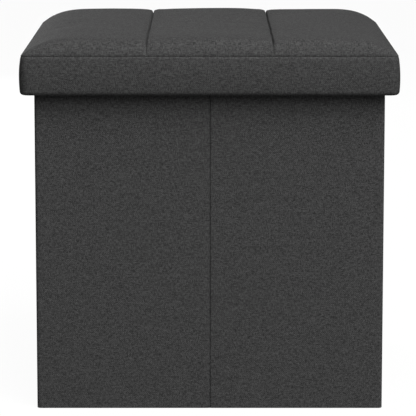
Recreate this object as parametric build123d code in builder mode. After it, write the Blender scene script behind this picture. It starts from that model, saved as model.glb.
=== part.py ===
"""Folding storage ottoman: a cloth-covered box whose front and back fold inward on a
centre crease, and a padded cap lid that lifts off.

Frame: millimetres, +Z up, origin on the floor under the centre of the box, front face
towards -Y. Every wall is a stiff board in a cloth pocket closed by a lining. The cloth
between the pockets is the hinge, so there are no metal hinges.
"""

import os

from build123d import *

# Box, measured over the cloth
box_width = 348.0
box_depth = 348.0
wall_height = 344.0
cloth = 1.5
board = 6.4
lining = 0.9
slip = 0.1
edge_round = 3.0
crease_round = 1.2
hem_round = 1.0

# Cloth hinges between the walls
crease_gap = 1.4
crease_strip = 1.2
corner_gap = 0.4
seam_offset = 1.0
welt_radius = 0.8

# Folding base: two leaves sewn to one sheet, with a ribbon to pull it up
base_seam_gap = 0.3
base_gap = 1.5
base_sheet_thickness = 1.0
base_corner = 4.0
leaf_thickness = 3.0
leaf_hinge_gap = 3.0
ribbon_width = 22.0
ribbon_length = 46.0
ribbon_thickness = 1.2
ribbon_corner = 3.0

# Lid frame: a board on four rails, lined inside, that caps the box
lid_clearance = 3.5
lid_drop = 26.0
lid_rest_gap = 0.3
lid_lining_thickness = 0.9
lid_board_thickness = 9.0
rail_thickness = 6.5
rail_corner = 6.0
brad_from_centre = 120.0
brad_length = 24.0
brad_radius = 0.9
brad_fit = 0.1

# Lid cover: a padded band round the frame, and a seat in three stitched sections
seam_rise = 3.7
band_padding = 5.0
band_corner = 12.0
band_foot_inset = 1.5
band_seam_inset = 3.0
band_foot_round = 3.5
seat_corner = 12.0
shoulder_rise = 17.0
shoulder_run = 30.0
section_crown = 2.5
channel_spacing = 125.0
channel_half_width = 8.0
channel_depth = 4.0
padding_fit = 0.3

# Places worked out from the sizes above
wall = cloth + board + lining + 2 * slip
half_width = box_width / 2
half_depth = box_depth / 2
inner_x = half_width - wall
inner_y = half_depth - wall
skirt_x = half_width + lid_clearance
skirt_y = half_depth + lid_clearance
rail_in_x = skirt_x + lid_lining_thickness + slip
rail_in_y = skirt_y + lid_lining_thickness + slip
rail_out_x = rail_in_x + rail_thickness
rail_out_y = rail_in_y + rail_thickness
lid_half_x = rail_out_x + band_padding
lid_half_y = rail_out_y + band_padding
lid_under = wall_height + lid_rest_gap
board_bottom = lid_under + lid_lining_thickness + slip
board_top = board_bottom + lid_board_thickness
band_bottom = wall_height - lid_drop
band_top = board_top + seam_rise
band_height = band_top - band_bottom
rail_bottom = band_bottom + cloth + slip
seat_half_x = lid_half_x - band_seam_inset
seat_half_y = lid_half_y - band_seam_inset
shoulder_top = band_top + shoulder_rise

os.makedirs("parts", exist_ok=True)


def save(piece, name):
    """Names a finished piece and writes it to its own file."""
    piece.part.label = name
    export_step(piece.part, f"parts/{name}.step")


# Walls. Each is a cloth pocket open to the inside, a board in it and a lining over that.


def round_upright(cover, frame, which, radius):
    """Rounds the first or last upright edge of a cover's outer face."""
    outward = Axis(frame.origin, frame.z_dir)
    along = Axis(frame.origin, frame.x_dir)
    outer_face = cover.faces().sort_by(outward)[-1]
    fillet(outer_face.edges().filter_by(Axis.Z).sort_by(along)[which], radius)


def wall_panel(name, frame, start, end, start_round, end_round):
    """One wall, from start to end along the x of a frame that lies on its outer face.

    The frame's z points out of the box and its y points up from the floor.
    """
    length = end - start
    centre = ((start + end) / 2, wall_height / 2)
    with BuildPart() as cover:
        with BuildSketch(frame):
            with Locations(centre):
                Rectangle(length, wall_height)
        extrude(amount=-wall)
        round_upright(cover, frame, 0, start_round)
        round_upright(cover, frame, -1, end_round)
        outer_face = cover.faces().sort_by(Axis(frame.origin, frame.z_dir))[-1]
        level_edges = outer_face.edges().sort_by(Axis.Z)
        chamfer([level_edges[0], level_edges[-1]], hem_round)
        with BuildSketch(frame.offset(-cloth)):
            with Locations(centre):
                Rectangle(length - 2 * cloth, wall_height - 2 * cloth)
        extrude(amount=-wall, mode=Mode.SUBTRACT)
    save(cover, f"{name}_cover")

    pocket_length = length - 2 * (cloth + slip)
    pocket_height = wall_height - 2 * (cloth + slip)
    with BuildPart() as stiffener:
        with BuildSketch(frame.offset(-cloth - slip)):
            with Locations(centre):
                Rectangle(pocket_length, pocket_height)
        extrude(amount=-board)
    save(stiffener, f"{name}_board")

    with BuildPart() as inner_cloth:
        with BuildSketch(frame.offset(lining - wall)):
            with Locations(centre):
                Rectangle(pocket_length, pocket_height)
        extrude(amount=-lining)
    save(inner_cloth, f"{name}_lining")


front = Plane(origin=(0, -half_depth, 0), x_dir=(1, 0, 0), z_dir=(0, -1, 0))
back = Plane(origin=(0, half_depth, 0), x_dir=(-1, 0, 0), z_dir=(0, 1, 0))
left = Plane(origin=(-half_width, 0, 0), x_dir=(0, -1, 0), z_dir=(-1, 0, 0))
right = Plane(origin=(half_width, 0, 0), x_dir=(0, 1, 0), z_dir=(1, 0, 0))
crease = crease_gap / 2
side_end = inner_y - corner_gap

# The front and back halves meet at a crease and cover the ends of the two sides.
wall_panel("front_left", front, -half_width, -crease, edge_round, crease_round)
wall_panel("front_right", front, crease, half_width, crease_round, edge_round)
wall_panel("back_right", back, -half_width, -crease, edge_round, crease_round)
wall_panel("back_left", back, crease, half_width, crease_round, edge_round)
wall_panel("left_side", left, -side_end, side_end, crease_round, crease_round)
wall_panel("right_side", right, -side_end, side_end, crease_round, crease_round)


# Crease strips: the cloth that closes the gap between two halves and bends when they fold


def crease_strip_between(name, frame, depth):
    """The strip in the crease of one face, set back from the outer face by depth."""
    with BuildPart() as strip:
        with BuildSketch(frame.offset(-depth)):
            with Locations((0, wall_height / 2)):
                Rectangle(crease_gap - 4 * slip, wall_height - 2 * hem_round)
        extrude(amount=-crease_strip)
    save(strip, name)


# The back strip sits deeper, so the two strips pass each other when the box is folded flat.
crease_strip_between("front_crease_strip", front, cloth + slip)
crease_strip_between("back_crease_strip", back, cloth + crease_strip + 2 * slip)

# Corner welts: the sewn seams in the inside corners, on which the walls turn


def corner_welts(name, x):
    """The front and back welts of one side, upright in its two inside corners."""
    with BuildPart() as welts:
        with BuildSketch(Plane.XY.offset(cloth)):
            with Locations((x, seam_offset - inner_y), (x, inner_y - seam_offset)):
                Circle(welt_radius)
        extrude(amount=wall_height - 2 * cloth)
    save(welts, name)


corner_welts("left_corner_welts", seam_offset - inner_x)
corner_welts("right_corner_welts", inner_x - seam_offset)

# Base: a sheet sewn to the walls, two stiff leaves on it and a pull ribbon
base_half_x = inner_x - base_seam_gap
base_half_y = inner_y - base_gap

with BuildPart() as base_sheet:
    with BuildSketch():
        RectangleRounded(2 * base_half_x, 2 * base_half_y, base_corner)
    extrude(amount=base_sheet_thickness)
save(base_sheet, "base_sheet")


def base_leaf(name, side):
    """One stiff leaf of the base: side is -1 for the left leaf and 1 for the right."""
    leaf_length = base_half_x - leaf_hinge_gap / 2
    leaf_centre = side * (base_half_x + leaf_hinge_gap / 2) / 2
    with BuildPart() as leaf:
        with BuildSketch(Plane.XY.offset(base_sheet_thickness)):
            with Locations((leaf_centre, 0)):
                RectangleRounded(leaf_length, 2 * base_half_y, base_corner)
        extrude(amount=leaf_thickness)
    save(leaf, name)


base_leaf("base_leaf_left", -1)
base_leaf("base_leaf_right", 1)

with BuildPart() as pull_ribbon:
    with BuildSketch(Plane.XY.offset(base_sheet_thickness + leaf_thickness)):
        RectangleRounded(ribbon_length, ribbon_width, ribbon_corner)
    extrude(amount=ribbon_thickness)
save(pull_ribbon, "base_pull_ribbon")

# Lid frame: the board, fixed down on four rails with headless brads
brad_x = rail_in_x + rail_thickness / 2
brad_y = rail_in_y + rail_thickness / 2
brad_places = [
    *[(side * brad_from_centre, end * brad_y) for side in (-1, 1) for end in (-1, 1)],
    *[(end * brad_x, side * brad_from_centre) for side in (-1, 1) for end in (-1, 1)],
]
brad_tops = [(x, y, board_top) for x, y in brad_places]

with BuildPart() as lid_board:
    with BuildSketch(Plane.XY.offset(board_bottom)):
        RectangleRounded(2 * rail_out_x, 2 * rail_out_y, rail_corner)
    extrude(amount=lid_board_thickness)
    with Locations(*brad_tops):
        Hole(brad_radius + brad_fit)
save(lid_board, "lid_board")


def lid_rail(name, centre, size):
    """One rail of the frame: the part of the frame's outline inside a strip."""
    with BuildPart() as rail:
        with BuildSketch(Plane.XY.offset(rail_bottom)):
            RectangleRounded(2 * rail_out_x, 2 * rail_out_y, rail_corner)
            Rectangle(2 * rail_in_x, 2 * rail_in_y, mode=Mode.SUBTRACT)
            with Locations(centre):
                Rectangle(*size, mode=Mode.INTERSECT)
        extrude(amount=board_bottom - rail_bottom)
        with Locations(*brad_tops):
            Hole(brad_radius + brad_fit, brad_length + brad_fit)
    save(rail, name)


lid_rail("lid_rail_front", (0, -brad_y), (2 * rail_out_x, rail_thickness))
lid_rail("lid_rail_back", (0, brad_y), (2 * rail_out_x, rail_thickness))
lid_rail("lid_rail_left", (-brad_x, 0), (rail_thickness, 2 * rail_in_y))
lid_rail("lid_rail_right", (brad_x, 0), (rail_thickness, 2 * rail_in_y))

with BuildPart() as lid_brads:
    with Locations(*brad_tops):
        Cylinder(brad_radius, brad_length, align=(Align.CENTER, Align.CENTER, Align.MAX))
save(lid_brads, "lid_brads")

with BuildPart() as lid_lining:
    with BuildSketch(Plane.XY.offset(rail_bottom)):
        Rectangle(2 * (rail_in_x - slip), 2 * (rail_in_y - slip))
    extrude(amount=board_bottom - slip - rail_bottom)
    with BuildSketch(Plane.XY.offset(rail_bottom)):
        Rectangle(2 * skirt_x, 2 * skirt_y)
    extrude(amount=lid_under - rail_bottom, mode=Mode.SUBTRACT)
save(lid_lining, "lid_lining")

# Band: cloth round the frame, turned in under the rails, over a layer of wadding


def band_blank(inset, bottom):
    """The band's bulging outline as a solid block, drawn in by inset, from bottom up."""
    corner_x = lid_half_x - band_corner
    corner_y = lid_half_y - band_corner
    reach = band_corner - inset
    foot = (reach - band_foot_inset, bottom)
    seam = (reach - band_seam_inset, band_top)
    with BuildSketch() as outline:
        with BuildLine():
            ThreePointArc(foot, (reach, (band_bottom + band_top) / 2), seam)
            Polyline(seam, (0, band_top), (0, bottom), foot)
        make_face()
    corner = (corner_x, corner_y, 0)
    along_side = Plane(origin=corner, x_dir=(1, 0, 0), z_dir=(0, -1, 0)) * outline.sketch
    along_back = Plane(origin=corner, x_dir=(0, 1, 0), z_dir=(1, 0, 0)) * outline.sketch
    with BuildPart() as blank:
        with BuildSketch(Plane.XY.offset(bottom)):
            Rectangle(corner_x, corner_y, align=Align.MIN)
        extrude(amount=band_top - bottom)
        extrude(along_side, amount=corner_y, dir=(0, -1, 0))
        extrude(along_back, amount=corner_x, dir=(-1, 0, 0))
        revolve(along_side, Axis(corner, (0, 0, 1)), 90)
        mirror(about=Plane.YZ)
        mirror(about=Plane.XZ)
    return blank.part


with BuildPart() as band_cover:
    add(band_blank(0, band_bottom))
    fillet(band_cover.faces().sort_by(Axis.Z)[0].edges(), band_foot_round)
    add(band_blank(cloth, band_bottom + cloth), mode=Mode.SUBTRACT)
    with BuildSketch(Plane.XY.offset(band_bottom)):
        Rectangle(2 * skirt_x, 2 * skirt_y)
    extrude(amount=band_height, mode=Mode.SUBTRACT)
save(band_cover, "lid_band_cover")

with BuildPart() as band_wadding:
    add(band_blank(cloth + padding_fit, rail_bottom + padding_fit))
    with BuildSketch(Plane.XY.offset(band_bottom)):
        RectangleRounded(
            2 * (rail_out_x + padding_fit), 2 * (rail_out_y + padding_fit), rail_corner
        )
    extrude(amount=band_height, mode=Mode.SUBTRACT)
    split(bisect_by=Plane.XY.offset(board_top), keep=Keep.BOTTOM)
save(band_wadding, "lid_band_wadding")

# Seat: foam under a cover, sewn along two channels into three crowned sections


def section_profile(inset):
    """The right half of the seat's line from side to side: shoulder, section, channel, middle."""
    edge = seat_half_x - inset
    top = shoulder_top - inset
    run_end = edge - shoulder_run
    channel = channel_spacing / 2
    channel_floor = (channel, top - channel_depth)
    section_start = (channel + channel_half_width, top)
    middle_end = (channel - channel_half_width, top)
    TangentArc((run_end, top), (edge, band_top), tangent=(1, 0))
    SagittaArc(section_start, (run_end, top), section_crown)
    TangentArc(section_start, channel_floor, tangent=(-1, 0))
    TangentArc(middle_end, channel_floor, tangent=(1, 0))
    TangentArc((0, top + section_crown), middle_end, tangent=(1, 0))


def seat_form(inset, bottom):
    """The seat as one block from bottom up to its surface, drawn in by inset."""
    edge_x = seat_half_x - inset
    edge_y = seat_half_y - inset
    run_y = edge_y - shoulder_run
    ridge = shoulder_top + section_crown + padding_fit - inset
    deep = band_top - shoulder_rise
    with BuildSketch(Plane.XZ) as across:
        with BuildLine():
            section_profile(inset)
            Line((edge_x, band_top), (edge_x, deep))
            Line((edge_x, deep), (0, deep))
            mirror(about=Plane.YZ)
        make_face()
    with BuildSketch(Plane.YZ) as along:
        with BuildLine():
            Line((-run_y, ridge), (run_y, ridge))
            TangentArc((run_y, ridge), (edge_y, band_top), tangent=(1, 0))
            TangentArc((-run_y, ridge), (-edge_y, band_top), tangent=(-1, 0))
            Polyline((edge_y, band_top), (edge_y, deep), (-edge_y, deep), (-edge_y, band_top))
        make_face()
    with BuildPart() as form:
        extrude(across.sketch, amount=edge_y, both=True)
        extrude(along.sketch, amount=edge_x, both=True, mode=Mode.INTERSECT)
        with BuildSketch(Plane.XY.offset(band_top)) as plan:
            RectangleRounded(2 * edge_x, 2 * edge_y, seat_corner - inset)
        extrude(amount=shoulder_rise + section_crown, mode=Mode.INTERSECT)
        if bottom < band_top:
            extrude(plan.sketch, amount=bottom - band_top)
    return form.part


with BuildPart() as seat_cover:
    add(seat_form(0, band_top))
    add(seat_form(cloth, board_top), mode=Mode.SUBTRACT)
save(seat_cover, "seat_cover")

with BuildPart() as seat_foam:
    add(seat_form(cloth + padding_fit, board_top))
save(seat_foam, "seat_foam")
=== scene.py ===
import math

import bmesh
import bpy
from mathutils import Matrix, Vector, noise


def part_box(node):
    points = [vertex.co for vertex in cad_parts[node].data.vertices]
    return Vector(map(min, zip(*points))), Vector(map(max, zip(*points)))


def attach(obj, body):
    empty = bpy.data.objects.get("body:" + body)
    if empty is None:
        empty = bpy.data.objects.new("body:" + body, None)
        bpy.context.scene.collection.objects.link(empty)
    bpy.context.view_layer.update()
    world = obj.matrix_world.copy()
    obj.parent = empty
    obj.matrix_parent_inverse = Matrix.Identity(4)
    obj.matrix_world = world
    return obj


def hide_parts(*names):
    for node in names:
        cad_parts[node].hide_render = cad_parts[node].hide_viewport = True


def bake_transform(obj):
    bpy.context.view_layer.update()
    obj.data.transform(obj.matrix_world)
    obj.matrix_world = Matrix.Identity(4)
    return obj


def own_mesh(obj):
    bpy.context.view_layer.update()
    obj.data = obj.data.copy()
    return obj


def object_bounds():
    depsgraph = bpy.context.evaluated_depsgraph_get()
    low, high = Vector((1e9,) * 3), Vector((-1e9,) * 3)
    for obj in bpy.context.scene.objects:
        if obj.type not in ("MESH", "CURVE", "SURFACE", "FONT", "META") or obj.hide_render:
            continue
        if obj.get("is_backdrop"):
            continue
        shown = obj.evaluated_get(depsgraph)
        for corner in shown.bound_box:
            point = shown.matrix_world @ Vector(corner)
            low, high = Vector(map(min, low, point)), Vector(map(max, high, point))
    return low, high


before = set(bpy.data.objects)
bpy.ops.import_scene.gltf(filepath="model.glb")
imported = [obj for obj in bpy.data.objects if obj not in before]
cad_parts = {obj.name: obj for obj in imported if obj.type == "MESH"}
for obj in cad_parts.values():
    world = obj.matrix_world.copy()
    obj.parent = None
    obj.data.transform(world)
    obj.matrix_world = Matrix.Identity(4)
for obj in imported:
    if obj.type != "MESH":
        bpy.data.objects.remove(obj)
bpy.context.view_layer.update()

# Wall boards: six flat panels of bare brown fibreboard, pressed from fine fibres and sawn to size.
# Each slides into its own cloth pocket, which is then sewn shut, so they hardly ever show.
walls = ["front_left", "front_right", "back_left", "back_right", "left_side", "right_side"]


def new_material(name, roughness, specular):
    """A material with only its Principled shader, handed back with its nodes, links and shader."""
    material = bpy.data.materials.new(name)
    material.use_nodes = True
    shader = material.node_tree.nodes["Principled BSDF"]
    shader.inputs["Roughness"].default_value = roughness
    shader.inputs["Specular IOR Level"].default_value = specular
    return material, material.node_tree.nodes, material.node_tree.links, shader


fibreboard, nodes, links, shader = new_material("fibreboard", 0.85, 0.25)
place = nodes.new("ShaderNodeTexCoord")
fibres = nodes.new("ShaderNodeTexNoise")
fibres.inputs["Scale"].default_value = 900
fibres.inputs["Detail"].default_value = 6
links.new(place.outputs["Object"], fibres.inputs["Vector"])
fibre_colour = nodes.new("ShaderNodeValToRGB")
fibre_colour.color_ramp.elements[0].position = 0.35
fibre_colour.color_ramp.elements[0].color = (0.24, 0.15, 0.08, 1)
fibre_colour.color_ramp.elements[1].position = 0.7
fibre_colour.color_ramp.elements[1].color = (0.42, 0.29, 0.17, 1)
links.new(fibres.outputs["Fac"], fibre_colour.inputs["Fac"])
links.new(fibre_colour.outputs["Color"], shader.inputs["Base Color"])
fibre_bump = nodes.new("ShaderNodeBump")
fibre_bump.inputs["Strength"].default_value = 0.2
fibre_bump.inputs["Distance"].default_value = 0.0002
links.new(fibres.outputs["Fac"], fibre_bump.inputs["Height"])
links.new(fibre_bump.outputs["Normal"], shader.inputs["Normal"])


def dress(node, material):
    """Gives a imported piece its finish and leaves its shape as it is."""
    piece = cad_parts[node]
    if not piece.material_slots:
        piece.data.materials.append(material)
    for material_slot in piece.material_slots:
        material_slot.material = material


for wall in walls:
    dress(f"{wall}_board", fibreboard)

# Linen weave: the look of the outer cloth, a plain weave of grey melange yarn with slubs.
# Threads run along both directions of the cloth, each a little lighter or darker along its length.
weave = bpy.data.node_groups.new("linen_weave", "ShaderNodeTree")
weave.interface.new_socket("Cloth", in_out="INPUT", socket_type="NodeSocketVector")
weave.interface.new_socket("Light Yarn", in_out="INPUT", socket_type="NodeSocketColor")
weave.interface.new_socket("Dark Yarn", in_out="INPUT", socket_type="NodeSocketColor")
weave.interface.new_socket("Color", in_out="OUTPUT", socket_type="NodeSocketColor")
weave.interface.new_socket("Height", in_out="OUTPUT", socket_type="NodeSocketFloat")
nodes, links = weave.nodes, weave.links
weave_in = nodes.new("NodeGroupInput")
weave_out = nodes.new("NodeGroupOutput")


def streaks(across, along, seed):
    """Noise drawn out along one direction of the cloth: across and along are in metres."""
    stretch = weave.nodes.new("ShaderNodeMapping")
    stretch.inputs["Scale"].default_value = (1 / across, 1 / along, 1)
    stretch.inputs["Location"].default_value = (seed, seed, seed)
    weave.links.new(weave_in.outputs["Cloth"], stretch.inputs["Vector"])
    yarn = weave.nodes.new("ShaderNodeTexNoise")
    yarn.inputs["Scale"].default_value = 1
    yarn.inputs["Detail"].default_value = 2
    weave.links.new(stretch.outputs["Vector"], yarn.inputs["Vector"])
    return yarn.outputs["Fac"]


def calculate(tree, operation, *values):
    """One sum in a node tree, where each value is a number or another node's output."""
    step = tree.nodes.new("ShaderNodeMath")
    step.operation = operation
    for socket, value in zip(step.inputs, values):
        if isinstance(value, bpy.types.NodeSocket):
            tree.links.new(value, socket)
        else:
            socket.default_value = value
    return step.outputs[0]


def wave(tree, along, pitch):
    """A smooth wave along one direction of the cloth, which crosses zero once every pitch."""
    return calculate(tree, "SINE", calculate(tree, "MULTIPLY", along, math.pi / pitch))


thread_pitch = 0.0010
slub_width = 0.0009
slub_length = 0.0034
patch_size = 0.0024
patch_contrast = 4
patch_offset = -1.5
crossing_tone = 0.3
crossing_relief = 0.35
warp = streaks(slub_width, slub_length, seed=3.1)
weft = streaks(slub_length, slub_width, seed=7.7)
patches = streaks(patch_size, patch_size, seed=12.4)
flat_cloth = nodes.new("ShaderNodeSeparateXYZ")
links.new(weave_in.outputs["Cloth"], flat_cloth.inputs["Vector"])
wave_u = wave(weave, flat_cloth.outputs["X"], thread_pitch)
wave_v = wave(weave, flat_cloth.outputs["Y"], thread_pitch)
crossing = calculate(weave, "MULTIPLY", wave_u, wave_v)
showing = calculate(weave, "MULTIPLY_ADD", patches, patch_contrast, patch_offset)
over = calculate(weave, "MULTIPLY_ADD", crossing, crossing_tone, showing)
top_yarn = nodes.new("ShaderNodeMix")
links.new(over, top_yarn.inputs["Factor"])
links.new(warp, top_yarn.inputs["A"])
links.new(weft, top_yarn.inputs["B"])
tone = nodes.new("ShaderNodeMapRange")
tone.inputs["From Min"].default_value = 0.36
tone.inputs["From Max"].default_value = 0.64
links.new(top_yarn.outputs["Result"], tone.inputs["Value"])
# A Mix node keeps its two colours and their result at these places among its sockets.
first_colour, second_colour, mixed_colour = 6, 7, 2
yarn_colour = nodes.new("ShaderNodeMix")
yarn_colour.data_type = "RGBA"
links.new(tone.outputs["Result"], yarn_colour.inputs["Factor"])
links.new(weave_in.outputs["Dark Yarn"], yarn_colour.inputs[first_colour])
links.new(weave_in.outputs["Light Yarn"], yarn_colour.inputs[second_colour])
links.new(yarn_colour.outputs[mixed_colour], weave_out.inputs["Color"])
relief = calculate(weave, "MULTIPLY_ADD", crossing, crossing_relief, top_yarn.outputs["Result"])
links.new(relief, weave_out.inputs["Height"])

# Wall covers: six pockets of grey linen-look cloth, one round each board, sewn to each other.
# The cloth is pulled tight, so the faces are flat and only the edges and hems are soft.


def linen_material(name, light_yarn, dark_yarn, relief_depth):
    """Matt woven cloth that takes its threads from the weave."""
    material, nodes, links, shader = new_material(name, 0.95, 0.01)
    cloth_place = nodes.new("ShaderNodeUVMap")
    cloth_place.uv_map = "cloth"
    threads = nodes.new("ShaderNodeGroup")
    threads.node_tree = weave
    threads.inputs["Light Yarn"].default_value = (*light_yarn, 1)
    threads.inputs["Dark Yarn"].default_value = (*dark_yarn, 1)
    links.new(cloth_place.outputs["UV"], threads.inputs["Cloth"])
    links.new(threads.outputs["Color"], shader.inputs["Base Color"])
    bump = nodes.new("ShaderNodeBump")
    bump.inputs["Strength"].default_value = 0.6
    bump.inputs["Distance"].default_value = relief_depth
    links.new(threads.outputs["Height"], bump.inputs["Height"])
    links.new(bump.outputs["Normal"], shader.inputs["Normal"])
    return material


def lay_cloth(mesh):
    """Lays the weave on a mesh in metres, from the front, the side or the top of each face."""
    layer = mesh.loops.layers.uv.new("cloth")
    for face in mesh.faces:
        nx, ny, nz = (abs(n) for n in face.normal)
        for loop in face.loops:
            x, y, z = loop.vert.co
            if nz >= nx and nz >= ny:
                loop[layer].uv = (x, y)
            elif ny >= nx:
                loop[layer].uv = (x, z)
            else:
                loop[layer].uv = (y, z)


def make_piece(name, mesh, *materials):
    """Turns a finished mesh into a smooth-shaded piece of the scene, and frees the mesh."""
    data = bpy.data.meshes.new(name)
    mesh.to_mesh(data)
    mesh.free()
    for material in materials:
        data.materials.append(material)
    data.shade_smooth()
    piece = bpy.data.objects.new(name, data)
    bpy.context.scene.collection.objects.link(piece)
    return piece


def join_rings(mesh, lower, higher):
    """Faces all the way round between two closed rings, and hands them back."""
    faces = []
    for i in range(len(lower)):
        j = (i + 1) % len(lower)
        faces.append(mesh.faces.new((lower[i], lower[j], higher[j], higher[i])))
    return faces


def join_rows(mesh, rows):
    """Faces between each two of the open rows, as on a sheet."""
    for lower, higher in zip(rows, rows[1:]):
        for i in range(len(lower) - 1):
            mesh.faces.new((lower[i], lower[i + 1], higher[i + 1], higher[i]))


def quarter_turn(centre, radius, start, steps):
    """Points on a quarter circle, anticlockwise from the start angle in degrees."""
    angles = [math.radians(start + 90 * step / steps) for step in range(steps + 1)]
    return [(centre[0] + radius * math.cos(a), centre[1] + radius * math.sin(a)) for a in angles]


def rounded_outline(low, high, radii, spacing):
    """A rectangle in plan with four rounded corners, its long sides split into short runs.

    The radii go anticlockwise from the corner at low x and low y.
    """
    corners = [
        (low[0] + radii[0], low[1] + radii[0], radii[0], 180),
        (high[0] - radii[1], low[1] + radii[1], radii[1], 270),
        (high[0] - radii[2], high[1] - radii[2], radii[2], 0),
        (low[0] + radii[3], high[1] - radii[3], radii[3], 90),
    ]
    points = []
    for x, y, radius, start in corners:
        turn = quarter_turn((x, y), radius, start, steps=5)
        if points:
            points += split_run(points[-1], turn[0], spacing)
        points += turn
    points += split_run(points[-1], points[0], spacing)
    return points


def split_run(start, end, spacing):
    """The points between two ends, spaced about as far apart as asked, with one close to each end.

    The close ones keep the shading of a flat run clear of the bend beside it.
    """
    edge_support = 0.0012
    length = math.dist(start, end)
    count = max(1, round(length / spacing))
    shares = [step / count for step in range(1, count)]
    if shares:
        shares = [edge_support / length, *shares, 1 - edge_support / length]
    return [(start[0] + (end[0] - start[0]) * s, start[1] + (end[1] - start[1]) * s) for s in shares]


def stand_up(mesh, outline, low_z, high_z, hem, spacing):
    """A closed slab: the outline drawn up from low_z to high_z, with its hems rounded over."""
    middle = Vector((sum(p[0] for p in outline), sum(p[1] for p in outline))) / len(outline)
    half_size = Vector((max(p[0] for p in outline), max(p[1] for p in outline))) - middle
    hem_steps = 4
    lower_hem = []
    for step in reversed(range(hem_steps)):
        turn = math.radians(90 * step / hem_steps)
        lower_hem.append((low_z + hem * (1 - math.sin(turn)), hem * (1 - math.cos(turn))))
    upper_hem = [(low_z + high_z - z, inset) for z, inset in reversed(lower_hem)]
    straight = split_run(lower_hem[-1], upper_hem[0], spacing)
    rings = []
    for z, inset in lower_hem + straight + upper_hem:
        shrink = Vector((1 - inset / half_size.x, 1 - inset / half_size.y))
        ring = []
        for x, y in outline:
            offset = (Vector((x, y)) - middle) * shrink
            ring.append(mesh.verts.new((middle.x + offset.x, middle.y + offset.y, z)))
        rings.append(ring)
    for lower, higher in zip(rings, rings[1:]):
        join_rings(mesh, lower, higher)
    mesh.faces.new(list(reversed(rings[0])))
    mesh.faces.new(rings[-1])


box_linen = linen_material("box_linen", (0.0805, 0.0805, 0.0805), (0.0326, 0.0326, 0.0326), 0.0003)
outer_corner = 0.0032
crease_edge = 0.0010
inner_edge = 0.0008
cover_hem = 0.0008
cover_spacing = 0.012
corner_radii = {
    "front_left": (outer_corner, crease_edge, inner_edge, inner_edge),
    "front_right": (crease_edge, outer_corner, inner_edge, inner_edge),
    "back_left": (inner_edge, inner_edge, crease_edge, outer_corner),
    "back_right": (inner_edge, inner_edge, outer_corner, crease_edge),
    "left_side": (crease_edge, inner_edge, inner_edge, crease_edge),
    "right_side": (inner_edge, crease_edge, crease_edge, inner_edge),
}
wall_body = {wall: wall if wall.endswith("side") else f"{wall}_panel" for wall in walls}
for wall in walls:
    low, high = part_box(f"{wall}_cover")
    mesh = bmesh.new()
    outline = rounded_outline(low, high, corner_radii[wall], cover_spacing)
    stand_up(mesh, outline, low[2], high[2], cover_hem, cover_spacing)
    mesh.normal_update()
    lay_cloth(mesh)
    cover = make_piece(f"{wall}_cloth", mesh, box_linen)
    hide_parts(f"{wall}_cover")
    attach(cover, wall_body[wall])

# Crease strips: the cloth between two halves of the front, and of the back, which is the fold.
# It dips between the edges of the two pockets and turns over on itself when the box is folded.
crease_half = 0.0016
crease_dip = 0.0009
crease_curl = 0.0011
crease_columns = 8
crease_rows = 28
for face, left_body, right_body in (
    ("front", "front_left_panel", "front_right_panel"),
    ("back", "back_left_panel", "back_right_panel"),
):
    low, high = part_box(f"{face}_left_cover")
    outer_y, inwards = (low[1], 1) if face == "front" else (high[1], -1)
    mesh = bmesh.new()
    rows = []
    for level in range(crease_rows + 1):
        z = low[2] + cover_hem + (high[2] - low[2] - 2 * cover_hem) * level / crease_rows
        row = []
        for step in range(crease_columns + 1):
            share = 2 * step / crease_columns - 1
            depth = crease_dip + crease_curl * share * share
            row.append(mesh.verts.new((crease_half * share, outer_y + inwards * depth, z)))
        rows.append(row)
    join_rows(mesh, rows)
    mesh.normal_update()
    lay_cloth(mesh)
    strip = make_piece(f"{face}_crease_cloth", mesh, box_linen)
    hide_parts(f"{face}_crease_strip")
    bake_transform(strip)

# Spunbond emboss: the look of the black lining, a felted sheet pressed with rows of small dots.
# The dots are a little shinier than the fibres between them.
emboss = bpy.data.node_groups.new("spunbond_emboss", "ShaderNodeTree")
emboss.interface.new_socket("Cloth", in_out="INPUT", socket_type="NodeSocketVector")
emboss.interface.new_socket("Fibre", in_out="INPUT", socket_type="NodeSocketColor")
emboss.interface.new_socket("Color", in_out="OUTPUT", socket_type="NodeSocketColor")
emboss.interface.new_socket("Roughness", in_out="OUTPUT", socket_type="NodeSocketFloat")
emboss.interface.new_socket("Height", in_out="OUTPUT", socket_type="NodeSocketFloat")
nodes, links = emboss.nodes, emboss.links
emboss_in = nodes.new("NodeGroupInput")
emboss_out = nodes.new("NodeGroupOutput")
dot_pitch = 0.0018
dot_shine = 0.3
felt_roughness = 0.8
felt_relief = 0.5
flat_sheet = nodes.new("ShaderNodeSeparateXYZ")
links.new(emboss_in.outputs["Cloth"], flat_sheet.inputs["Vector"])
dots_u = wave(emboss, flat_sheet.outputs["X"], dot_pitch)
dots_v = wave(emboss, flat_sheet.outputs["Y"], dot_pitch)
dot = nodes.new("ShaderNodeMapRange")
dot.inputs["From Min"].default_value = 0.45
dot.inputs["From Max"].default_value = 0.75
links.new(calculate(emboss, "MULTIPLY", dots_u, dots_v), dot.inputs["Value"])
felt = nodes.new("ShaderNodeTexNoise")
felt.inputs["Scale"].default_value = 1600
felt.inputs["Detail"].default_value = 4
links.new(emboss_in.outputs["Cloth"], felt.inputs["Vector"])
fibre_tone = nodes.new("ShaderNodeMix")
fibre_tone.data_type = "RGBA"
fibre_tone.blend_type = "MULTIPLY"
fibre_tone.inputs["Factor"].default_value = 0.6
links.new(emboss_in.outputs["Fibre"], fibre_tone.inputs[first_colour])
felt_colour = nodes.new("ShaderNodeCombineColor")
felt_tone = calculate(emboss, "MULTIPLY", felt.outputs["Fac"], 2)
for channel in ("Red", "Green", "Blue"):
    links.new(felt_tone, felt_colour.inputs[channel])
links.new(felt_colour.outputs["Color"], fibre_tone.inputs[second_colour])
links.new(fibre_tone.outputs[mixed_colour], emboss_out.inputs["Color"])
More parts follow.
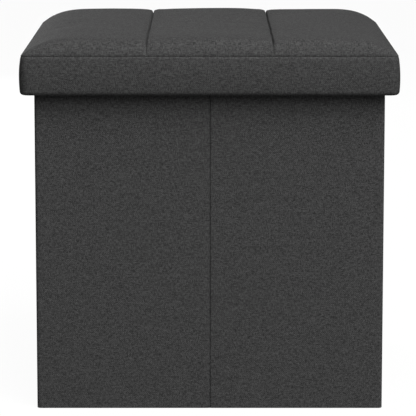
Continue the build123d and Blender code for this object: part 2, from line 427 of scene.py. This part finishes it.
dot_roughness = calculate(emboss, "MULTIPLY_ADD", dot.outputs["Result"], -dot_shine, felt_roughness)
links.new(dot_roughness, emboss_out.inputs["Roughness"])
fibre_height = calculate(emboss, "MULTIPLY", felt.outputs["Fac"], felt_relief)
sheet_height = calculate(emboss, "SUBTRACT", fibre_height, dot.outputs["Result"])
links.new(sheet_height, emboss_out.inputs["Height"])

# Wall linings: thin black spunbond sheets that close the pockets on the inside of the box.
# Each is sewn on a little inside the rim, with a row of stitches below its top edge.


def spunbond_material(name, fibre):
    """Thin black felt with pressed dots."""
    material, nodes, links, shader = new_material(name, 0.8, 0.3)
    cloth_place = nodes.new("ShaderNodeUVMap")
    cloth_place.uv_map = "cloth"
    dots = nodes.new("ShaderNodeGroup")
    dots.node_tree = emboss
    dots.inputs["Fibre"].default_value = (*fibre, 1)
    links.new(cloth_place.outputs["UV"], dots.inputs["Cloth"])
    links.new(dots.outputs["Color"], shader.inputs["Base Color"])
    links.new(dots.outputs["Roughness"], shader.inputs["Roughness"])
    bump = nodes.new("ShaderNodeBump")
    bump.inputs["Strength"].default_value = 0.5
    bump.inputs["Distance"].default_value = 0.0002
    links.new(dots.outputs["Height"], bump.inputs["Height"])
    links.new(bump.outputs["Normal"], shader.inputs["Normal"])
    return material


def add_stitch(mesh, start, end, out, thickness, material_index):
    """One stitch: a short six-sided thread from start to end that rises a little along out."""
    start, end, out = Vector(start), Vector(end), Vector(out)
    side = (end - start).normalized().cross(out) * thickness
    up = out * thickness
    rings = []
    for share, swell in ((0, 0.2), (0.2, 0.9), (0.5, 1), (0.8, 0.9), (1, 0.2)):
        centre = start.lerp(end, share) + up * swell * 0.5
        ring = []
        for corner in range(6):
            turn = math.radians(60 * corner)
            spoke = side * math.cos(turn) + up * math.sin(turn)
            ring.append(mesh.verts.new(centre + spoke * swell))
        rings.append(ring)
    faces = [mesh.faces.new(list(reversed(rings[0]))), mesh.faces.new(rings[-1])]
    for lower, higher in zip(rings, rings[1:]):
        faces += join_rings(mesh, lower, higher)
    for face in faces:
        face.material_index = material_index


lining_felt = spunbond_material("lining_felt", (0.022, 0.022, 0.023))
sewing_thread, nodes, links, shader = new_material("sewing_thread", 0.6, 0.4)
place = nodes.new("ShaderNodeTexCoord")
twist = nodes.new("ShaderNodeTexNoise")
twist.inputs["Scale"].default_value = 2500
links.new(place.outputs["Object"], twist.inputs["Vector"])
thread_colour = nodes.new("ShaderNodeValToRGB")
thread_colour.color_ramp.elements[0].color = (0.02, 0.02, 0.02, 1)
thread_colour.color_ramp.elements[1].color = (0.09, 0.09, 0.09, 1)
links.new(twist.outputs["Fac"], thread_colour.inputs["Fac"])
links.new(thread_colour.outputs["Color"], shader.inputs["Base Color"])

lining_sheet = 0.0004
lining_proud = 0.0002
lining_margin = 0.0025
lining_top_margin = 0.009
lining_corner = 0.0002
lining_hem = 0.00025
lining_spacing = 0.02
stitch_length = 0.0034
stitch_pitch = 0.0048
stitch_thickness = 0.0003
stitch_margin = 0.004
stitch_drop = 0.003
inward_of = {
    "front_left": (0, 1, 0),
    "front_right": (0, 1, 0),
    "back_left": (0, -1, 0),
    "back_right": (0, -1, 0),
    "left_side": (1, 0, 0),
    "right_side": (-1, 0, 0),
}
room_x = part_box("left_side_lining")[1][0]
for wall in walls:
    low, high = (Vector(corner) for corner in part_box(f"{wall}_lining"))
    inward = Vector(inward_of[wall])
    run_axis = 1 if inward.x else 0
    depth_axis = 1 - run_axis
    face_at = high[depth_axis] if inward[depth_axis] > 0 else low[depth_axis]
    near = face_at + lining_proud * inward[depth_axis]
    far = face_at - lining_sheet * inward[depth_axis]
    low[depth_axis], high[depth_axis] = min(near, far), max(near, far)
    if run_axis == 0:
        low.x = max(low.x, room_x)
        high.x = min(high.x, -room_x)
    low[run_axis] += lining_margin
    high[run_axis] -= lining_margin
    high.z -= lining_top_margin
    mesh = bmesh.new()
    outline = rounded_outline(low, high, (lining_corner,) * 4, lining_spacing)
    stand_up(mesh, outline, low.z, high.z, lining_hem, lining_spacing)
    run_at = low[run_axis] + stitch_margin
    while run_at < high[run_axis] - stitch_margin - stitch_length:
        start = Vector((0, 0, high.z - stitch_drop))
        start[run_axis] = run_at
        start[depth_axis] = near
        end = start.copy()
        end[run_axis] += stitch_length
        add_stitch(mesh, start, end, inward, stitch_thickness, material_index=1)
        run_at += stitch_pitch
    mesh.normal_update()
    lay_cloth(mesh)
    inside = make_piece(f"{wall}_lining_sheet", mesh, lining_felt, sewing_thread)
    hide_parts(f"{wall}_lining")
    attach(inside, wall_body[wall])

# Corner welts: the seam allowances in the four inside corners, overcast with thread.
# They are the cloth hinges that the front and back halves turn on.
welt_felt = spunbond_material("welt_felt", (0.02, 0.02, 0.02))
welt_radius = 0.0007
welt_centre = 0.0008
welt_pitch = 0.005
welt_draw = 0.16
welt_levels = 220
for side in ("left", "right"):
    low, high = (Vector(corner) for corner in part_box(f"{side}_corner_welts"))
    x = (low.x + high.x) / 2
    mesh = bmesh.new()
    for y in (low.y + welt_centre, high.y - welt_centre):
        rings = []
        for level in range(welt_levels + 1):
            z = low.z + (high.z - low.z) * level / welt_levels
            reach = welt_radius * (1 - welt_draw * (1 + math.sin(2 * math.pi * z / welt_pitch)))
            ring = []
            for corner in range(8):
                turn = math.radians(45 * corner)
                ring.append(mesh.verts.new((x + reach * math.cos(turn), y + reach * math.sin(turn), z)))
            rings.append(ring)
        for lower, higher in zip(rings, rings[1:]):
            join_rings(mesh, lower, higher)
        mesh.faces.new(list(reversed(rings[0])))
        mesh.faces.new(rings[-1])
    mesh.normal_update()
    lay_cloth(mesh)
    welt = make_piece(f"{side}_welt_seams", mesh, welt_felt)
    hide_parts(f"{side}_corner_welts")
    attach(welt, f"{side}_side")

# Base: a black sheet sewn along the sides, two stiff leaves in black felt and a pull ribbon.
# The sheet reaches just under the linings, with a small tab in the foot of each crease.
# It creases upward between the sides when the box is folded, so here it stays flat and moves with the
# left side.
base_under = 0.0005
base_corner = 0.0005
base_hem = 0.0002
base_spacing = 0.02
base_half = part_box("right_side_lining")[0][0] + base_under
low, high = (Vector(corner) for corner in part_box("base_sheet"))
low.x = low.y = -base_half
high.x = high.y = base_half
mesh = bmesh.new()
outline = rounded_outline(low, high, (base_corner,) * 4, base_spacing)
stand_up(mesh, outline, low.z, high.z, base_hem, base_spacing)
tab_corner = 0.0002
tab_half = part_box("front_right_cover")[0][0] + inner_edge
tab_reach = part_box("back_left_cover")[1][1] - crease_dip
for start, end in ((-tab_reach, -base_half), (base_half, tab_reach)):
    tab = rounded_outline((-tab_half, start), (tab_half, end), (tab_corner,) * 4, base_spacing)
    stand_up(mesh, tab, low.z, high.z, base_hem, base_spacing)
mesh.normal_update()
lay_cloth(mesh)
base_cloth = make_piece("base_felt_sheet", mesh, lining_felt)
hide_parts("base_sheet")
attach(base_cloth, "left_side")
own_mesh(base_cloth)

leaf_felt = spunbond_material("leaf_felt", (0.024, 0.024, 0.025))
leaf_corner = 0.004
leaf_hem = 0.0013
leaf_spacing = 0.016
for leaf in ("base_leaf_left", "base_leaf_right"):
    low, high = (Vector(corner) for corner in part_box(leaf))
    mesh = bmesh.new()
    outline = rounded_outline(low, high, (leaf_corner,) * 4, leaf_spacing)
    stand_up(mesh, outline, low.z, high.z, leaf_hem, leaf_spacing)
    mesh.normal_update()
    lay_cloth(mesh)
    stiff_leaf = make_piece(f"{leaf}_felted", mesh, leaf_felt)
    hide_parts(leaf)
    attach(stiff_leaf, "left_side")
    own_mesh(stiff_leaf)

webbing, nodes, links, shader = new_material("ribbon_webbing", 0.7, 0.35)
place = nodes.new("ShaderNodeUVMap")
place.uv_map = "cloth"
ribs = nodes.new("ShaderNodeTexWave")
ribs.inputs["Scale"].default_value = 130
ribs.inputs["Distortion"].default_value = 0.4
links.new(place.outputs["UV"], ribs.inputs["Vector"])
rib_colour = nodes.new("ShaderNodeValToRGB")
rib_colour.color_ramp.elements[0].color = (0.012, 0.012, 0.012, 1)
rib_colour.color_ramp.elements[1].color = (0.04, 0.04, 0.041, 1)
links.new(ribs.outputs["Fac"], rib_colour.inputs["Fac"])
links.new(rib_colour.outputs["Color"], shader.inputs["Base Color"])
rib_bump = nodes.new("ShaderNodeBump")
rib_bump.inputs["Strength"].default_value = 0.6
rib_bump.inputs["Distance"].default_value = 0.0003
links.new(ribs.outputs["Fac"], rib_bump.inputs["Height"])
links.new(rib_bump.outputs["Normal"], shader.inputs["Normal"])
ribbon_corner = 0.003
ribbon_hem = 0.0005
ribbon_spacing = 0.004
low, high = (Vector(corner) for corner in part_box("base_pull_ribbon"))
mesh = bmesh.new()
outline = rounded_outline(low, high, (ribbon_corner,) * 4, ribbon_spacing)
stand_up(mesh, outline, low.z, high.z, ribbon_hem, ribbon_spacing)
mesh.normal_update()
lay_cloth(mesh)
ribbon = make_piece("base_pull_webbing", mesh, webbing)
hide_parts("base_pull_ribbon")
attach(ribbon, "left_side")
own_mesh(ribbon)

# Lid frame: a fibreboard panel on four planed softwood rails, fixed with headless steel brads.
# It is hidden by the cloth above and the lining below, so its finishes are plain.
planed_pine, nodes, links, shader = new_material("planed_pine", 0.6, 0.3)
place = nodes.new("ShaderNodeTexCoord")
grain_stretch = nodes.new("ShaderNodeMapping")
grain_stretch.inputs["Scale"].default_value = (12, 12, 160)
links.new(place.outputs["Object"], grain_stretch.inputs["Vector"])
grain = nodes.new("ShaderNodeTexNoise")
grain.inputs["Scale"].default_value = 1
grain.inputs["Detail"].default_value = 5
links.new(grain_stretch.outputs["Vector"], grain.inputs["Vector"])
grain_colour = nodes.new("ShaderNodeValToRGB")
grain_colour.color_ramp.elements[0].position = 0.35
grain_colour.color_ramp.elements[0].color = (0.38, 0.24, 0.12, 1)
grain_colour.color_ramp.elements[1].position = 0.65
grain_colour.color_ramp.elements[1].color = (0.62, 0.46, 0.28, 1)
links.new(grain.outputs["Fac"], grain_colour.inputs["Fac"])
links.new(grain_colour.outputs["Color"], shader.inputs["Base Color"])

brad_steel, nodes, links, shader = new_material("brad_steel", 0.35, 0.5)
shader.inputs["Metallic"].default_value = 1
place = nodes.new("ShaderNodeTexCoord")
drawn = nodes.new("ShaderNodeTexNoise")
drawn.inputs["Scale"].default_value = 1200
links.new(place.outputs["Object"], drawn.inputs["Vector"])
drawn_colour = nodes.new("ShaderNodeValToRGB")
drawn_colour.color_ramp.elements[0].color = (0.42, 0.42, 0.43, 1)
drawn_colour.color_ramp.elements[1].color = (0.6, 0.6, 0.61, 1)
links.new(drawn.outputs["Fac"], drawn_colour.inputs["Fac"])
links.new(drawn_colour.outputs["Color"], shader.inputs["Base Color"])

dress("lid_board", fibreboard)
for side in ("front", "back", "left", "right"):
    dress(f"lid_rail_{side}", planed_pine)
dress("lid_brads", brad_steel)

# Lid lining: one black spunbond sheet folded into a shallow tray and stapled inside the frame.
# It covers the board from below and the inner faces of the rails.
low, high = (Vector(corner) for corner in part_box("lid_lining"))
tray_sheet = 0.0008
tray_corner = 0.003
tray_spacing = 0.012
tray_rows = 3
bend_steps = 4
mesh = bmesh.new()
tray_low = low + Vector((tray_sheet,) * 3)
tray_high = high - Vector((tray_sheet,) * 3)
outline = rounded_outline(tray_low, tray_high, (tray_corner,) * 4, tray_spacing)
bend_foot = high.z - tray_corner
bend = tray_corner - tray_sheet
climb = [(low.z + (bend_foot - low.z) * row / tray_rows, 0) for row in range(tray_rows + 1)]
for step in range(1, bend_steps + 1):
    turn = math.radians(90 * step / bend_steps)
    climb.append((bend_foot + bend * math.sin(turn), bend * (1 - math.cos(turn))))
rings = []
for z, inset in climb:
    shrink = Vector((1 - inset / tray_high.x, 1 - inset / tray_high.y))
    rings.append([mesh.verts.new((x * shrink.x, y * shrink.y, z)) for x, y in outline])
for lower, higher in zip(rings, rings[1:]):
    join_rings(mesh, higher, lower)
mesh.faces.new(list(reversed(rings[-1])))
mesh.normal_update()
lay_cloth(mesh)
tray = make_piece("lid_lining_tray", mesh, lining_felt)
thickness = tray.modifiers.new("sheet", "SOLIDIFY")
thickness.thickness = tray_sheet
thickness.offset = -1
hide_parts("lid_lining")
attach(tray, "lid")

# Lid band: a strip of the same cloth sewn round the seat and drawn over thin wadding on the rails.
# It bulges a little, turns under the rails at its foot and is stapled there out of sight.
# The lid's cloth is the walls' cloth painted about 5 % darker. This painted shade holds down the seat
# and band, which the lamps light more than the walls.
lid_linen_painted_shade = linen_material("lid_linen_painted_shade", (0.0760, 0.0760, 0.0760), (0.0306, 0.0306, 0.0306), 0.0003)
band_low, band_high = (Vector(corner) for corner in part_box("lid_band_cover"))
lid_half = 0.1885
band_corner = 0.010
seam_inset = 0.002
foot_inset = 0.001
foot_lift = 0.001
band_foot = band_low.z + foot_lift
band_seam = band_high.z
skirt_half = 0.1778
foot_round = 0.0040
band_rows = 14
foot_steps = 5
band_sheet = 0.0012


def band_profile():
    """The band's line from the seam down to the lip under the rails, as (inset, height) pairs."""
    line = []
    for tuck, drop in ((0.0035, 0.0020), (0.0015, 0.0004), (0.0003, 0.0001)):
        line.append((seam_inset + tuck, band_seam - drop))
    height = band_seam - band_foot
    seam_roll = 0.0004
    for step in range(1, band_rows + 1):
        down = seam_roll + (height - foot_round - seam_roll) * step / band_rows
        share = down / height
        bulge = (3 * seam_inset + foot_inset) * share - 2 * (seam_inset + foot_inset) * share**2
        line.append((seam_inset - bulge, band_seam - down))
    start_inset = line[-1][0]
    for step in range(1, foot_steps + 1):
        turn = math.radians(90 * step / foot_steps)
        inset = start_inset + foot_round * (1 - math.cos(turn))
        line.append((inset, band_foot + foot_round * (1 - math.sin(turn))))
    under = lid_half - skirt_half
    for back, rise in ((0.002, 0), (0, 0.0006), (0, 0.0016)):
        line.append((under - back, band_foot + rise))
    return line


mesh = bmesh.new()
cloth_layer = mesh.loops.layers.uv.new("cloth")
profile = band_profile()
run_down = [0]
for first, second in zip(profile, profile[1:]):
    run_down.append(run_down[-1] + math.dist(first, second))
turn_steps = 8
side_steps = 50
way_round = []
for quarter in range(4):
    for step in range(turn_steps + 1):
        way_round.append((quarter, "turn", math.radians(180 + 90 * quarter + 90 * step / turn_steps)))
    for step in range(1, side_steps):
        way_round.append((quarter, "side", step / side_steps))
corner_signs = ((-1, -1), (1, -1), (1, 1), (-1, 1))
rings = []
for inset, z in profile:
    half = lid_half - inset
    radius = max(0.0, band_corner - inset)
    centre = half - radius
    ring = []
    for quarter, kind, value in way_round:
        here = Vector(corner_signs[quarter])
        ahead = Vector(corner_signs[(quarter + 1) % 4])
        if kind == "turn":
            angle = value
        else:
            angle = math.radians(270 + 90 * quarter)
            here = here.lerp(ahead, value)
        x = here.x * centre + radius * math.cos(angle)
        y = here.y * centre + radius * math.sin(angle)
        ring.append(mesh.verts.new((x, y, z)))
    rings.append(ring)
run_round = [0]
fullest_level = 8
fullest = rings[fullest_level]
for first, second in zip(fullest, fullest[1:] + fullest[:1]):
    run_round.append(run_round[-1] + (first.co - second.co).length)
for level in range(len(rings) - 1):
    upper, lower = rings[level], rings[level + 1]
    for i in range(len(way_round)):
        j = (i + 1) % len(way_round)
        face = mesh.faces.new((upper[i], lower[i], lower[j], upper[j]))
        corners = ((i, level), (i, level + 1), (i + 1, level + 1), (i + 1, level))
        for loop, (along, row) in zip(face.loops, corners):
            loop[cloth_layer].uv = (run_round[along], -run_down[row])
ripple_depth = 0.0007
ripple_rate = Vector((14, 14, 20))
for vert in mesh.verts:
    outward = Vector((vert.co.x, vert.co.y, 0))
    share = (vert.co.z - band_foot) / (band_seam - band_foot)
    soft = max(0, math.sin(math.pi * min(1, max(0, share))))
    ripple = ripple_depth * noise.noise(vert.co * ripple_rate)
    vert.co += outward.normalized() * ripple * soft
mesh.normal_update()
band = make_piece("lid_band_cloth", mesh, lid_linen_painted_shade)
thickness = band.modifiers.new("cloth", "SOLIDIFY")
thickness.thickness = band_sheet
thickness.offset = -1
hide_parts("lid_band_cover", "lid_band_wadding")
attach(band, "lid")

# Seat: a foam pad under the same cloth, sewn through along two channels into three sections.
# Each section swells a little with its filling, is level from front to back, and rolls down over
# soft shoulders to the seam that joins it to the band.
seat_half = lid_half - seam_inset
seat_corner = band_corner - seam_inset
shoulder_rise = 0.017
side_run = 0.050
front_run = 0.024
corner_softness = 0.006
section_crown = 0.0006
section_reach = 0.06
middle_crown = 0.0010
channel_at = 0.0625
channel_width = 0.0075
channel_depth = 0.0014
slit_width = 0.0007
slit_depth = 0.0031
slit_at_seam = 0.45
wander_reach = 0.0007
wander_rate = 30
pucker_reach = 0.022
pucker_depth = 0.0004
pucker_rate = (40, 110)
fine_pucker_rate = (90, 230)
hollow_depth = 0.0006
hollow_rate = (16, 16)
lift_step = channel_at / 12
lift_reach = 36
most_lift = 0.003
lift_share = 0.6
settle_frames = 20


def shoulder(distance, run):
    """The rise above the seam at a distance in from the edge: an arc, then level."""
    bend = (run**2 + shoulder_rise**2) / (2 * shoulder_rise)
    inward = min(distance, run)
    return math.sqrt(bend**2 - (run - inward) ** 2) - (bend - shoulder_rise)


def bare_rise(x, y):
    """The seat's rise above its seam, the lower of its two shoulders with a soft corner between."""
    across = shoulder(seat_half - abs(x), side_run)
    along = shoulder(seat_half - abs(y), front_run)
    gap = max(corner_softness - abs(across - along), 0) / corner_softness
    return max(min(across, along) - gap * gap * corner_softness / 4, 0)


def fill_sheet(pressure):
    """The lift of a coarse sheet, blown up by simulation and held at its rim and channels."""
    spots = [lift_step * k for k in range(-lift_reach, lift_reach + 1)]
    mesh = bmesh.new()
    rows = []
    for y in spots:
        rows.append([mesh.verts.new((x, y, bare_rise(x, y))) for x in spots])
    join_rows(mesh, rows)
    sheet = make_piece("seat_filling", mesh)
    before = [vert.co.z for vert in sheet.data.vertices]
    sewn = []
    for vert in sheet.data.vertices:
        at_rim = max(abs(vert.co.x), abs(vert.co.y)) > lift_step * (lift_reach - 0.5)
        if at_rim or abs(abs(vert.co.x) - channel_at) < lift_step / 2:
            sewn.append(vert.index)
    sheet.vertex_groups.new(name="sewn").add(sewn, 1.0, "REPLACE")
    filling = sheet.modifiers.new("filling", "CLOTH")
    filling.settings.vertex_group_mass = "sewn"
    filling.settings.use_pressure = True
    filling.settings.uniform_pressure_force = pressure
    filling.settings.effector_weights.gravity = 0
    filling.settings.tension_stiffness = 40
    filling.settings.compression_stiffness = 40
    filling.settings.shear_stiffness = 20
    filling.settings.bending_stiffness = 2
    filling.settings.shrink_min = -0.001
    filling.collision_settings.use_collision = False
    filling.point_cache.frame_end = settle_frames
    for step in range(1, settle_frames + 1):
        bpy.context.scene.frame_set(step)
    filled = sheet.evaluated_get(bpy.context.evaluated_depsgraph_get())
    after = [vert.co.z for vert in filled.data.vertices]
    bpy.context.scene.frame_set(1)
    bpy.data.objects.remove(sheet)
    return [min(max(a - b, -most_lift), most_lift) for a, b in zip(after, before)]


def filling_lift(x, y):
    """The filling's lift over one point in plan, read between the coarse sheet's points."""
    if not lift:
        return 0
    column = min(max(x / lift_step + lift_reach, 0), 2 * lift_reach - 1e-6)
    row = min(max(y / lift_step + lift_reach, 0), 2 * lift_reach - 1e-6)
    i, j = int(column), int(row)
    across, along = column - i, row - j
    width = 2 * lift_reach + 1
    near = lift[j * width + i] * (1 - across) + lift[j * width + i + 1] * across
    far = lift[(j + 1) * width + i] * (1 - across) + lift[(j + 1) * width + i + 1] * across
    return near * (1 - along) + far * along


lift = fill_sheet(pressure=1)


def uneven(x, y, rate, seed):
    """Smooth random height between about -1 and 1, which changes faster with a higher rate."""
    return noise.noise(Vector((x * rate[0], y * rate[1], seed)))


def seat_height(x, y):
    """The height of the seat's surface over one point in plan."""
    rise = bare_rise(x, y)
    filled = rise / shoulder_rise
    height = band_seam + rise
    section = min(abs(abs(x) - channel_at) / section_reach, 1)
    height += section_crown * math.sin(math.pi / 2 * section) * filled
    if abs(x) < channel_at:
        height += middle_crown * math.cos(math.pi / 2 * x / channel_at) * filled
    height += lift_share * filling_lift(x, y)
    wander = wander_reach * noise.noise(Vector((y * wander_rate, math.copysign(3, x), 0)))
    off = abs(abs(x) - channel_at - wander)
    if off < channel_width:
        slope = 1 - off / channel_width
        dip = channel_depth * slope**1.5 + slit_depth * math.exp(-((off / slit_width) ** 2))
        height = max(height - dip * (slit_at_seam + (1 - slit_at_seam) * filled), band_seam)
    near = max(0, 1 - off / pucker_reach)
    pucker = uneven(x, y, pucker_rate, seed=2) + 0.5 * uneven(x, y, fine_pucker_rate, seed=5)
    height += pucker_depth * pucker * near**1.5 * filled
    height += hollow_depth * uneven(x, y, hollow_rate, seed=9) * filled
    return height


edge_step = 0.0012


def lines_across():
    """The places of the seat's grid from left to right, closer at the edges and channels."""
    open_step, channel_step, slit_step = 0.0036, 0.0018, 0.0005
    edge_reach, channel_reach, slit_reach = 0.012, 0.014, 0.003
    places = {-seat_half, seat_half}
    at = -seat_half
    while at < seat_half:
        off = abs(abs(at) - channel_at)
        step = open_step
        if seat_half - abs(at) < edge_reach:
            step = edge_step
        elif off < slit_reach:
            step = slit_step
        elif off < channel_reach:
            step = channel_step
        at += step
        places.add(round(min(at, seat_half), 6))
    return sorted(places)


def lines_along():
    """The places of the seat's grid from front to back: even ones, and a few close to both edges."""
    even_steps = 120
    edge_lines = 5
    places = {round(seat_half * (2 * k / even_steps - 1), 6) for k in range(even_steps + 1)}
    for k in range(1, edge_lines + 1):
        near_edge = round(seat_half - edge_step * k, 6)
        places |= {-near_edge, near_edge}
    return sorted(places)


mesh = bmesh.new()
lines_x = lines_across()
lines_y = lines_along()
corner_start = seat_half - seat_corner
grid = []
for y in lines_y:
    row = []
    for x in lines_x:
        past_x, past_y = abs(x) - corner_start, abs(y) - corner_start
        round_x, round_y = x, y
        if past_x > 0 and past_y > 0:
            pull = max(past_x, past_y) / math.hypot(past_x, past_y)
            round_x = math.copysign(corner_start + past_x * pull, x)
            round_y = math.copysign(corner_start + past_y * pull, y)
        row.append(mesh.verts.new((round_x, round_y, seat_height(x, y))))
    grid.append(row)
join_rows(mesh, grid)
front, back = grid[0], grid[-1]
right = [row[-1] for row in grid[1:-1]]
left = [row[0] for row in grid[1:-1]]
rim = front + right + back[::-1] + left[::-1]
tucked = [rim]
for inset, drop in ((0.0002, 0.0003), (0.004, 0.0012)):
    shrink = 1 - inset / seat_half
    ring = []
    for vert in rim:
        ring.append(mesh.verts.new((vert.co.x * shrink, vert.co.y * shrink, band_seam - drop)))
    tucked.append(ring)
for outer, inner in zip(tucked, tucked[1:]):
    join_rings(mesh, inner, outer)
mesh.faces.new(list(reversed(tucked[-1])))
bmesh.ops.recalc_face_normals(mesh, faces=mesh.faces)
mesh.normal_update()
lay_cloth(mesh)
seat = make_piece("seat_pad", mesh, lid_linen_painted_shade)
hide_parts("seat_cover", "seat_foam")
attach(seat, "lid")

# Floor: a pale, plain studio floor that reads white to the camera and keeps a trace of shadow.
# It gives back little light by itself, so the shadow under the lid stays dark.
floor_half = 12
floor_bounce = 0.18
floor_pale = 0.9
floor_white = 0.95
floor_data = bpy.data.meshes.new("floor")
mesh = bmesh.new()
bmesh.ops.create_grid(mesh, x_segments=1, y_segments=1, size=floor_half)
mesh.to_mesh(floor_data)
mesh.free()
floor = bpy.data.objects.new("floor", floor_data)
bpy.context.scene.collection.objects.link(floor)
floor_paint, nodes, links, shader = new_material("floor_paint", 0.8, 0.2)
white = nodes.new("ShaderNodeEmission")
white.inputs["Strength"].default_value = 1


def seen_light(tree):
    """A mask of the rays that a viewer sees, straight, in a shine or through something clear."""
    path = tree.nodes.new("ShaderNodeLightPath")
    seen = calculate(tree, "MAXIMUM", path.outputs["Is Camera Ray"], path.outputs["Is Glossy Ray"])
    return calculate(tree, "MAXIMUM", seen, path.outputs["Is Transmission Ray"])


seen_rays = seen_light(floor_paint.node_tree)
floor_tone = nodes.new("ShaderNodeMix")
floor_tone.data_type = "RGBA"
floor_tone.inputs[first_colour].default_value = (floor_bounce, floor_bounce, floor_bounce, 1)
floor_tone.inputs[second_colour].default_value = (floor_pale, floor_pale, floor_pale, 1)
links.new(seen_rays, floor_tone.inputs["Factor"])
links.new(floor_tone.outputs[mixed_colour], shader.inputs["Base Color"])
floor_mix = nodes.new("ShaderNodeMixShader")
white_share = calculate(floor_paint.node_tree, "MULTIPLY", seen_rays, floor_white)
links.new(white_share, floor_mix.inputs["Fac"])
links.new(shader.outputs["BSDF"], floor_mix.inputs[1])
links.new(white.outputs["Emission"], floor_mix.inputs[2])
links.new(floor_mix.outputs["Shader"], nodes["Material Output"].inputs["Surface"])
floor_data.materials.append(floor_paint)
floor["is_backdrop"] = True

# Light: three wide soft boxes, one above the other on an arc in front and a little to the right.
# A small one stands low behind on the left for the back, and the room adds a little even light.
world = bpy.data.worlds.new("studio")
bpy.context.scene.world = world
world.use_nodes = True
nodes, links = world.node_tree.nodes, world.node_tree.links
room = nodes["Background"]
room.inputs["Color"].default_value = (1, 1, 1, 1)
room.inputs["Strength"].default_value = 0.05
backdrop = nodes.new("ShaderNodeBackground")
backdrop.inputs["Color"].default_value = (1, 1, 1, 1)
room_mix = nodes.new("ShaderNodeMixShader")
links.new(seen_light(world.node_tree), room_mix.inputs["Fac"])
links.new(room.outputs["Background"], room_mix.inputs[1])
links.new(backdrop.outputs["Background"], room_mix.inputs[2])
links.new(room_mix.outputs["Shader"], nodes["World Output"].inputs["Surface"])


def soft_box(name, place, target, width, height, power):
    """A rectangular lamp at a place, turned to face a target."""
    lamp = bpy.data.lights.new(name, "AREA")
    lamp.shape = "RECTANGLE"
    lamp.size = width
    lamp.size_y = height
    lamp.energy = power
    holder = bpy.data.objects.new(name, lamp)
    bpy.context.scene.collection.objects.link(holder)
    holder.location = place
    holder.rotation_mode = "QUATERNION"
    holder.rotation_quaternion = (Vector(target) - Vector(place)).to_track_quat("-Z", "Y")


lamp_target = Vector((0, -0.1, 0.3))
lamp_reach = 5.5
lamp_side = math.radians(27)
front_lamps = {"low_box": (25.4, 78), "middle_box": (44.8, 135), "high_box": (65.6, 257)}
for name, (elevation, power) in front_lamps.items():
    climb = math.radians(elevation)
    level = lamp_reach * math.cos(climb)
    rise = lamp_reach * math.sin(climb)
    offset = Vector((level * math.sin(lamp_side), -level * math.cos(lamp_side), rise))
    soft_box(name, lamp_target + offset, lamp_target, width=3.4, height=2.2, power=power)
soft_box("back_box", (-1.3, 2.3, 0.45), (0, 0.1, 0.2), width=1.4, height=0.9, power=65)

# Camera: a long lens on a full-size sensor, straight in front of the box and above its seat.
# It looks down a little, so the seat shows behind the band.
camera_pitch = math.radians(9.338)
camera_data = bpy.data.cameras.new("camera")
camera_data.sensor_width = 36
camera_data.lens = 226.471
camera = bpy.data.objects.new("camera", camera_data)
bpy.context.scene.collection.objects.link(camera)
camera.location = (-0.0016, -2.75, 0.6285)
camera.rotation_euler = (math.radians(90) - camera_pitch, 0, 0)
bpy.context.scene.camera = camera
bpy.context.scene.view_settings.view_transform = "Standard"

# Size: the bounding box of the finished scene's shown pieces, leaving out the floor.
low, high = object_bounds()
